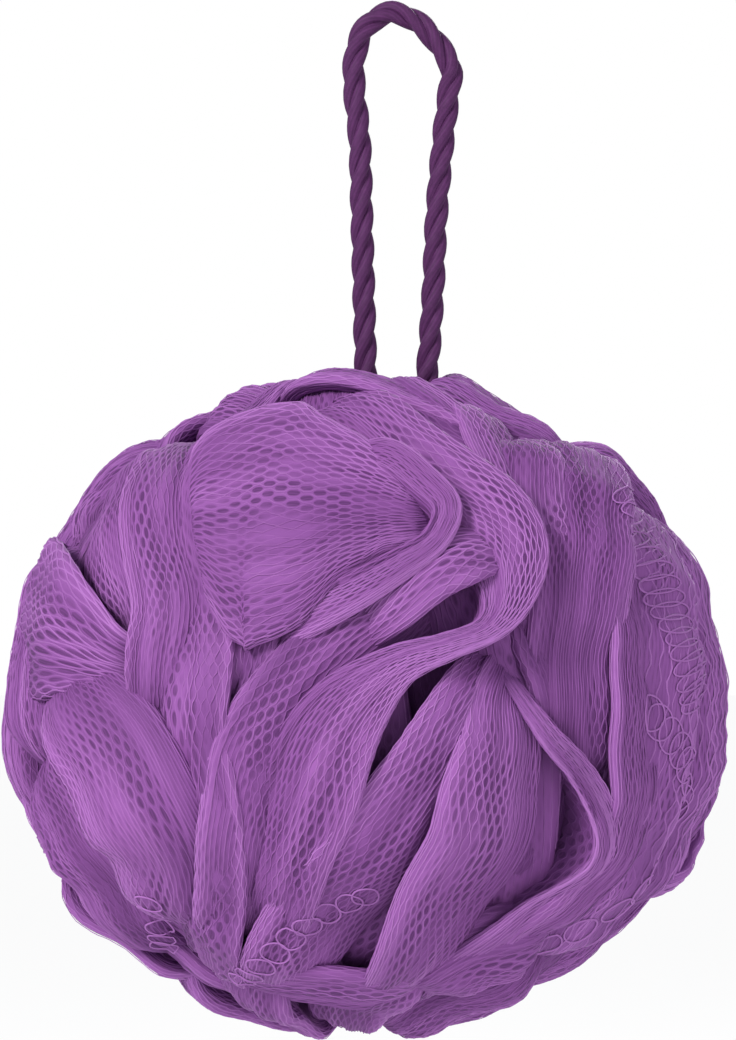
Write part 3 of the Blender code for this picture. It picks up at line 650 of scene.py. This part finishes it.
class Shade:
    """A socket of a material, so that its maths is written as Python expressions."""

    def __init__(self, paint, socket):
        self.paint, self.socket = paint, socket

    def maths(self, operation, *others, swap=False, clamp=False):
        """A Math node on this value and the others."""
        inputs = [self, *others]
        if swap:
            inputs = [*others, self]
        return self.paint.add("ShaderNodeMath", {"operation": operation, "use_clamp": clamp}, inputs)

    def __add__(self, other): return self.maths("ADD", other)
    def __radd__(self, other): return self.maths("ADD", other)
    def __sub__(self, other): return self.maths("SUBTRACT", other)
    def __rsub__(self, other): return self.maths("SUBTRACT", other, swap=True)
    def __mul__(self, other): return self.maths("MULTIPLY", other)
    def __rmul__(self, other): return self.maths("MULTIPLY", other)

    def sine(self): return self.maths("SINE")
    def clipped(self): return self.maths("ADD", 0.0, clamp=True)


class Paint:
    """A material in the making, whose surface is one Principled shader."""

    def __init__(self, name):
        self.material = bpy.data.materials.new(name)
        self.material.use_nodes = True
        self.tree = self.material.node_tree
        self.shader = self.tree.nodes["Principled BSDF"]

    def add(self, kind, settings, inputs, out=0):
        """A node of a kind, with its settings first, then the values or links of its sockets."""
        node = self.tree.nodes.new(kind)
        for key, value in settings.items():
            setattr(node, key, value)
        pairs = inputs.items() if isinstance(inputs, dict) else enumerate(inputs)
        for key, value in pairs:
            self.feed(node.inputs[key], value)
        return Shade(self, node.outputs[out])

    def stored(self, label):
        """What the piece's points hold under a label."""
        return self.add("ShaderNodeAttribute", {"attribute_name": label}, {}, "Fac")

    def place(self):
        """The weave's place along and across."""
        uv = self.add("ShaderNodeUVMap", {"uv_map": "weave"}, {})
        node = self.tree.nodes.new("ShaderNodeSeparateXYZ")
        self.tree.links.new(uv.socket, node.inputs[0])
        return Shade(self, node.outputs[0]), Shade(self, node.outputs[1])

    def feed(self, socket, value):
        """A link, a colour or a number into a socket."""
        if isinstance(value, Shade):
            self.tree.links.new(value.socket, socket)
        else:
            socket.default_value = (*value, 1.0) if isinstance(value, tuple) else value

    def blend(self, factor, first, second):
        """A colour between two, by a factor."""
        node = self.tree.nodes.new("ShaderNodeMix")
        node.data_type = "RGBA"
        for number, value in ((0, factor), (6, first), (7, second)):
            self.feed(node.inputs[number], value)
        return Shade(self, node.outputs[2])

    def streaks(self, along, across):
        """Noise drawn out along the net, from its place along and across."""
        spot = self.add("ShaderNodeCombineXYZ", {}, {"X": along, "Y": across})
        return self.add("ShaderNodeTexNoise", {}, {"Vector": spot, "Scale": 1.0, "Detail": 3.0})

    def noise(self, scale, detail=2.0):
        """Noise through the piece, by its place."""
        spot = self.add("ShaderNodeNewGeometry", {}, {}, "Position")
        return self.add("ShaderNodeTexNoise", {}, {"Vector": spot, "Scale": scale, "Detail": detail})

    def set(self, **values):
        """The finished material, from its shader's values."""
        names = {"colour": "Base Color", "roughness": "Roughness", "normal": "Normal",
                 "specular": "Specular IOR Level", "coat": "Coat Weight",
                 "coat_roughness": "Coat Roughness"}
        for key, value in values.items():
            self.feed(self.shader.inputs[names[key]], value)
        return self.material


# The net's colours, as lit, middle and shaded copies that paint a highlight on the crests of the folds
# and shade in the gaps between them, the painted shade seen in its holes, and the cord's.
STRAND_LIT = (0.355, 0.140, 0.415)
STRAND_MID = (0.24, 0.081, 0.288)
STRAND_SHADE = (0.15, 0.047, 0.186)
PLY_LIT = (0.268, 0.093, 0.318)
PLY_MID = (0.202, 0.066, 0.246)
PLY_SHADE = (0.135, 0.042, 0.168)
PLY_HOLE_SHADE = (0.092, 0.029, 0.115)
CORD_DEEP = (0.030, 0.008, 0.034)
CORD_LIT = (0.125, 0.034, 0.132)
YARNS = 9


def strand_finish():
    """Drawn plastic strands: a painted highlight on the folds' crests and lips, painted shade deep
    down, a little uneven.
    """
    paint = Paint("net_strand")
    rise, tint, lip, tone = (paint.stored(label) for label in ("rise", "tint", "lip", "tone"))
    patch = paint.noise(60.0)
    # Painted highlight on the high crests and the lips, and painted shade where the net lies deep,
    # with random tone from tint, patch and tone.
    lit = (rise - 0.8) * 1.2 + (tint - 0.5) * 0.3 + (patch - 0.5) * 0.7 + lip + tone * 0.7
    lit = lit.clipped()
    deep = ((0.82 - rise) * 2.2 - tone * 0.45).clipped()
    colour = paint.blend(deep, paint.blend(lit, STRAND_MID, STRAND_LIT), STRAND_SHADE)
    glint = ((paint.noise(700.0) - 0.74) * 20.0).clipped()
    return paint.set(colour=colour, roughness=0.5 + 0.16 * paint.noise(400.0), specular=0.16,
                     coat=glint, coat_roughness=0.12)


def ply_finish():
    """The inner layers of net: painted shade in the holes where the strands over them part and deep
    between the folds, paler on the lips as painted highlight and as denser net.
    """
    paint = Paint("net_ply")
    cells, strand = paint.place()
    rise, apart, lip, tone = (paint.stored(label) for label in ("rise", "tint", "lip", "tone"))
    streak = paint.streaks(cells * 0.6, strand * 1.3)
    patch = paint.streaks(cells * 0.3, strand * 0.16)
    # The holes where the strands part, painted dark as the shaded layers deeper in the ball; the lips'
    # denser net covers them.
    swing = ((cells * (2 * math.pi) - math.pi / 2).sine() * apart * (math.pi / 2)).sine()
    part = (strand * math.pi - math.pi / 2).sine() + swing
    hole = ((part * part - 0.6) * 0.9).clipped() * ((patch - 0.35) * 4.5).clipped()
    under = (strand * (2 * math.pi * 1.9) + (cells * 9.0).sine() * 1.2).sine()
    # Painted highlight on the high crests and the lips, painted shade where the net lies deep.
    lit = ((rise - 0.75) * 1.2 + (streak - 0.5) * 1.4 + lip * 1.1 + tone * 0.8).clipped()
    deep = ((0.82 - rise) * 2.0 - tone * 0.6).clipped()
    body = paint.blend(deep, paint.blend(lit, PLY_MID, PLY_LIT), PLY_SHADE)
    pit = paint.blend((under * 0.5 + 0.15).clipped(), PLY_HOLE_SHADE, PLY_SHADE)
    cover = (1.0 - hole * (1.0 - lip)).clipped()
    normal = paint.add("ShaderNodeBump", {}, {"Strength": 0.5, "Distance": 0.0003,
                                              "Height": cover * 0.6 + streak * 0.8})
    return paint.set(colour=paint.blend(cover, pit, body), roughness=0.65, normal=normal,
                     specular=0.1)


def core_finish():
    """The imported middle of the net, dark between the ruffles."""
    paint = Paint("net_middle")
    patch = paint.noise(300.0, 3.0)
    colour = paint.blend(patch, PLY_MID, PLY_LIT)
    normal = paint.add("ShaderNodeBump", {}, {"Strength": 0.8, "Distance": 0.001, "Height": patch})
    return paint.set(colour=colour, roughness=0.7, normal=normal, specular=0.2)


def cord_finish():
    """Dark fibre, with fine yarns that run along each strand of the cord."""
    paint = Paint("cord_fibre")
    along, around = paint.place()
    yarns = (around * (2 * math.pi * YARNS) + along * 6.0).sine()
    fuzz = paint.noise(900.0, 3.0)
    light = (yarns * 0.1 + 0.45 + (fuzz - 0.5) * 0.4).clipped()
    colour = paint.blend(light, CORD_DEEP, CORD_LIT)
    normal = paint.add("ShaderNodeBump", {}, {"Strength": 0.3, "Distance": 0.0002,
                                              "Height": yarns * 0.3 + fuzz * 0.4})
    return paint.set(colour=colour, roughness=0.6, normal=normal, specular=0.12)


def packed_middle(material):
    """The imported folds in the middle, which show dark between the ruffles."""
    rings, turns = MIDDLE_GRID
    e = np.linspace(-90, 90, rings)[:, None]
    a = np.linspace(0, 360, turns, endpoint=False)[None]
    ways = way(a + 0 * e, e + 0 * a)
    ridge = np.abs(np.sin(np.radians(a) * 17 + 2.5 * np.sin(np.radians(e) * 3)))
    high = -CORE_DEPTH + 1.5 + 1.2 * ridge * np.cos(np.radians(e))
    points = on_ball(ways, high)
    faces = wrapped_faces(rings, turns, outward=True)
    seen = ~in_throat(points, MIDDLE_CLEAR).ravel()
    faces = faces[seen[faces].all(1)]
    skin = Skin()
    uv = np.stack([(a + 0 * e).ravel() * 0.1, (e + 0 * a).ravel() * 0.1], 1)
    skin.add(points.reshape(-1, 3), faces, np.zeros((rings * turns, 4)), uv)
    return skin.piece("packed_middle", material)


def throat_lining(material):
    """The folds round the cord's throat, down to the tie."""
    turns, rings = LINING_GRID
    a = np.linspace(0, 2 * np.pi, turns, endpoint=False)[None]
    t = np.linspace(0, 1, rings)[:, None]
    radius = THROAT_WIDTH / 2 + 0.35 + 0.5 * np.abs(np.sin(a * 9 + 3 * t)) * (1 - 0.5 * t)
    top = LINING_TOP
    z = -LOOP_RISE - top + t * (THROAT_FLOOR + LOOP_RISE + top)
    points = np.stack([THROAT_X + radius * np.cos(a), radius * np.sin(a), z + 0 * a], -1)
    faces = wrapped_faces(rings, turns, outward=False)
    skin = Skin()
    uv = np.stack([(a + 0 * t).ravel(), (t + 0 * a).ravel()], 1)
    skin.add(points.reshape(-1, 3), faces, np.full((turns * rings, 4), 0.2), uv)
    return skin.piece("throat_folds", material)


def route_points(step):
    """Evenly spaced points of the cord's middle line."""
    route = np.array([(x, 0.0, z) for x, z in CORD_ROUTE])
    fine = spread(route, np.linspace(0, len(route) - 1, 3000))
    gone = travelled(fine)
    want = np.linspace(0, gone[-1], int(gone[-1] / step) + 1)
    return np.stack([np.interp(want, gone, fine[:, k]) for k in range(3)], 1), want


def twisted(skin, path, gone, strand_radius, offset, twist, e1):
    """Three strands twisted round a path, of which e1 points away at each place."""
    rows, sides = len(path), CORD_SIDES
    ahead = unit(np.gradient(path, axis=0))
    e1 = unit(e1 - ahead * np.sum(e1 * ahead, 1, keepdims=True))
    e2 = np.cross(ahead, e1)
    for k in range(3):
        turn = 2 * np.pi * (gone / twist + k / 3)
        out = e1 * np.cos(turn)[:, None] + e2 * np.sin(turn)[:, None]
        line = path + out * offset
        along = unit(np.gradient(line, axis=0))
        across = unit(np.cross(along, out))
        rise = np.cross(across, along)
        around = np.linspace(0, 2 * np.pi, sides, endpoint=False)
        ring = line[:, None] + strand_radius * (np.cos(around)[None, :, None] * rise[:, None]
                                                + np.sin(around)[None, :, None] * across[:, None])
        faces = wrapped_faces(rows, sides, outward=False)
        uv = np.stack([np.repeat(gone, sides) * WEAVE_SCALE,
                       np.tile(np.arange(sides) / sides, rows)], 1)
        last = np.arange((rows - 1) * sides, rows * sides)
        caps = np.stack([np.arange(sides)[::-1], last])
        base = skin.count
        skin.add(ring.reshape(-1, 3), faces[:, ::-1], np.full((rows * sides, 4), 0.5), uv)
        skin.faces.append(caps[:, ::-1] + base)


def cord(material):
    """The hanging cord in its loop."""
    path, gone = route_points(CORD_STEP)
    skin = Skin()
    out = np.tile([0.0, 1.0, 0.0], (len(path), 1))
    twisted(skin, path, gone, CORD_STRAND, CORD_SPREAD, CORD_TWIST, out)
    rope = skin.piece("rope_loop", material)
    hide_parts("hang_cord")
    coarse, _ = route_points(PATH_STEP)


def knot(material):
    """The pulled-tight knot of the cord on the tie."""
    low, high = (np.array(p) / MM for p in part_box("cord_knot"))
    middle, reach = (low + high) / 2, (high - low) / 2
    t = np.linspace(0, 2 * np.pi, 160)
    path = np.stack([np.sin(t) + 2 * np.sin(2 * t), np.cos(t) - 2 * np.cos(2 * t),
                     -1.6 * np.sin(3 * t)], 1)
    path = middle + path / np.abs(path).max(0) * (reach - KNOT_INSET)
    skin = Skin()
    out = path - middle + np.array([0.0, 0.0, 0.4])
    twisted(skin, path, travelled(path), KNOT_STRAND, KNOT_SPREAD, KNOT_TWIST, out)
    tied = skin.piece("tied_knot", material)
    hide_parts("cord_knot")


def as_netting(*pieces):
    """Hides the source's net, which the pieces show in its place."""
    for piece in pieces:
        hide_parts("netting")


def net(strand_material, ply_material):
    """Every ruffle's strands and inner layers, as pieces by where they lie on the ball. Each piece is
    a part of the one net. Its flat size is that of a strip about as wide as a ruffle is deep, whose
    length is worked out from the area that the piece shows."""
    zones = {}
    seed = FIRST_SEED
    laid = [(f"front_{i % 3}", n, s, f, p, False) for i, (n, s, f, p) in enumerate(FRONT_RUFFLES)]
    laid += [("side", n, s, f, p, False) for n, s, f, p in SIDE_RUFFLES]
    laid += [(f"back_{i % 3}", n, s, f, p, True) for i, (n, s, f, p) in enumerate(FRONT_RUFFLES)]
    for number, (count, first, lip_side, fullness, spine) in enumerate(RINGS):
        for k in range(count):
            turned = [(first + 360 / count * k + a, e, h, half) for a, e, h, half in spine]
            laid.append((f"ring_{number}", RING_NAMES[number], lip_side, fullness, turned, False))
    for zone, name, lip_side, fullness, spine, turn_over in laid:
        seed += SEED_STEP
        sheet = fold_sheet(name, spine, lip_side, fullness, turn_over, seed)
        sheet["burial"] = burial(sheet["points"], NET)
        sheet["deep"] = 0.0 if turn_over else sheet["look"]["deep"]
        strands, plies = zones.setdefault(zone, (Skin(), Skin()))
        add_strands(strands, sheet)
        add_ply(plies, sheet)
    inner, tops = [], []
    for zone, (strands, plies) in zones.items():
        top = strands.piece(f"net_{zone}", strand_material)
        under = plies.piece(f"plies_{zone}", ply_material)
        inner.append(under)
        tops.append(top)
        as_netting(top, under)
    loops = edge_loops(inner).piece("edge_loops", strand_material)
    as_netting(loops)


def edge_loops(inner):
    """Loose loops of the net's cut edges, which lie on the ruffles under them."""
    skin = Skin()
    depsgraph = bpy.context.evaluated_depsgraph_get()
    trees = [BVHTree.FromObject(piece, depsgraph) for piece in inner]
    for count, half_length, half_width, row in EDGE_LOOPS:
        row = np.array(row, float)
        line = unit(spread(way(row[:, 0], row[:, 1]), np.linspace(0, len(row) - 1, count)))
        middle = on_ball(line, np.zeros(count))
        ahead = unit(np.gradient(middle, axis=0))
        up = unit(middle - BALL_CENTRE)
        side = np.cross(up, ahead)
        turn = np.linspace(0, 2 * np.pi, LOOP_POINTS)
        ring = (middle[:, None] + ahead[:, None] * (half_length * np.cos(turn))[None, :, None]
                + side[:, None] * (half_width * np.sin(turn))[None, :, None])
        ways = unit(ring - BALL_CENTRE)
        far = np.array([[reach_of(w, trees) for w in rows] for rows in ways])
        level = np.percentile(far, 70, axis=1, keepdims=True)
        far = np.clip(far, level - LOOP_DROP, level + LOOP_LIFT) + LOOP_CLEAR
        points = BALL_CENTRE + ways * far[..., None]
        normals = np.repeat(up[:, None], len(turn), 1)
        ones = np.ones(points.shape[:2])
        # The loops are given full rise, so the strand material gives them the crests' painted
        # highlight and no painted shade.
        add_tubes(skin, points, normals, ones * LOOP_STRAND / 2, ones > 0, ones,
                  np.full(count, LOOP_PALE), ones * 0.0, ones * 0.0)
    return skin


def reach_of(way_out, trees):
    """How far the net reaches from the middle of the ball along a direction, in millimetres."""
    start = Vector((BALL_CENTRE + way_out * LOOK_FROM) * MM)
    back = Vector(-way_out)
    hits = [tree.ray_cast(start, back)[3] for tree in trees]
    return LOOK_FROM - min([h / MM for h in hits if h is not None], default=LOOK_MISS)


# The lamps, as name, place, width and power, and where they point. The camera's place, where it
# points and its lens, and the floor's level. Places are in metres.
LAMPS = (
    ("key", (-0.6, -0.7, 0.38), 0.35, 9.5),
    ("fill", (0.6, -0.7, -0.05), 0.6, 2.2),
    ("rim", (0.2, 0.7, 0.4), 0.5, 4.0),
)
LAMP_AIM = (0, 0, -0.12)
CAMERA_PLACE = (-0.0041, -0.70, -0.0892)
CAMERA_AIM = (-0.0041, 0, -0.0892)
CAMERA_LENS = 134.6
FLOOR_LEVEL = -0.30

# How brightly the camera sees the floor, where 1 is white, and the world's light on the object.
FLOOR_SHARE = 0.92
WORLD_COLOUR = (0.9, 0.92, 1.0, 1.0)
WORLD_LIGHT = 0.62


def lamp(name, place, size, power):
    """A soft round lamp that points at the ball."""
    data = bpy.data.lights.new(name, "AREA")
    data.shape, data.size, data.energy = "DISK", size, power
    lit = bpy.data.objects.new(name, data)
    bpy.context.scene.collection.objects.link(lit)
    lit.location = place
    turn(lit, LAMP_AIM)


def turn(obj, aim):
    """Points a lamp or the camera at a place."""
    obj.rotation_euler = (Vector(aim) - obj.location).to_track_quat("-Z", "Y").to_euler()


def studio():
    """A pale floor well under the hanging ball, soft lamps and the photograph's camera."""
    scene = bpy.context.scene
    scene.view_settings.view_transform = "Standard"
    bpy.ops.mesh.primitive_circle_add(vertices=96, radius=4.0, fill_type="NGON",
                                      location=(0, 0, FLOOR_LEVEL))
    floor = bpy.context.object
    floor.name = "floor"
    white = bpy.data.materials.new("floor_white")
    white.use_nodes = True
    tree = white.node_tree
    plain = tree.nodes["Principled BSDF"]
    plain.inputs["Base Color"].default_value = (0.86, 0.86, 0.86, 1.0)
    plain.inputs["Roughness"].default_value = 0.9
    glow = tree.nodes.new("ShaderNodeEmission")
    rays = tree.nodes.new("ShaderNodeLightPath")
    share = tree.nodes.new("ShaderNodeMath")
    share.operation = "MULTIPLY"
    share.inputs[1].default_value = FLOOR_SHARE
    mixed = tree.nodes.new("ShaderNodeMixShader")
    tree.links.new(rays.outputs["Is Camera Ray"], share.inputs[0])
    tree.links.new(share.outputs[0], mixed.inputs[0])
    tree.links.new(plain.outputs[0], mixed.inputs[1])
    tree.links.new(glow.outputs[0], mixed.inputs[2])
    tree.links.new(mixed.outputs[0], tree.nodes["Material Output"].inputs[0])
    floor.data.materials.append(white)
    world = bpy.data.worlds.new("studio")
    scene.world = world
    world.use_nodes = True
    tree = world.node_tree
    back = tree.nodes["Background"]
    back.inputs[0].default_value = WORLD_COLOUR
    back.inputs[1].default_value = WORLD_LIGHT
    seen = tree.nodes.new("ShaderNodeBackground")
    seen.inputs[0].default_value = (1.0, 1.0, 1.0, 1.0)
    rays = tree.nodes.new("ShaderNodeLightPath")
    mixed = tree.nodes.new("ShaderNodeMixShader")
    tree.links.new(rays.outputs["Is Camera Ray"], mixed.inputs[0])
    tree.links.new(back.outputs[0], mixed.inputs[1])
    tree.links.new(seen.outputs[0], mixed.inputs[2])
    tree.links.new(mixed.outputs[0], tree.nodes["World Output"].inputs[0])
    for name, place, size, power in LAMPS:
        lamp(name, place, size, power)
    data = bpy.data.cameras.new("camera")
    data.lens = CAMERA_LENS
    data.sensor_width = 36.0
    data.clip_start, data.clip_end = 0.05, 20.0
    camera = bpy.data.objects.new("camera", data)
    scene.collection.objects.link(camera)
    camera.location = CAMERA_PLACE
    turn(camera, CAMERA_AIM)
    scene.camera = camera


studio()
NET = source_net()
STRANDS, PLIES, MIDDLE, CORD = strand_finish(), ply_finish(), core_finish(), cord_finish()
cord(CORD)
knot(CORD)
PACKED = [packed_middle(MIDDLE), throat_lining(MIDDLE)]
as_netting(*PACKED)
net(STRANDS, PLIES)
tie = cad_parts["gather_tie"]
tie.data.materials.clear()
tie.data.materials.append(CORD)
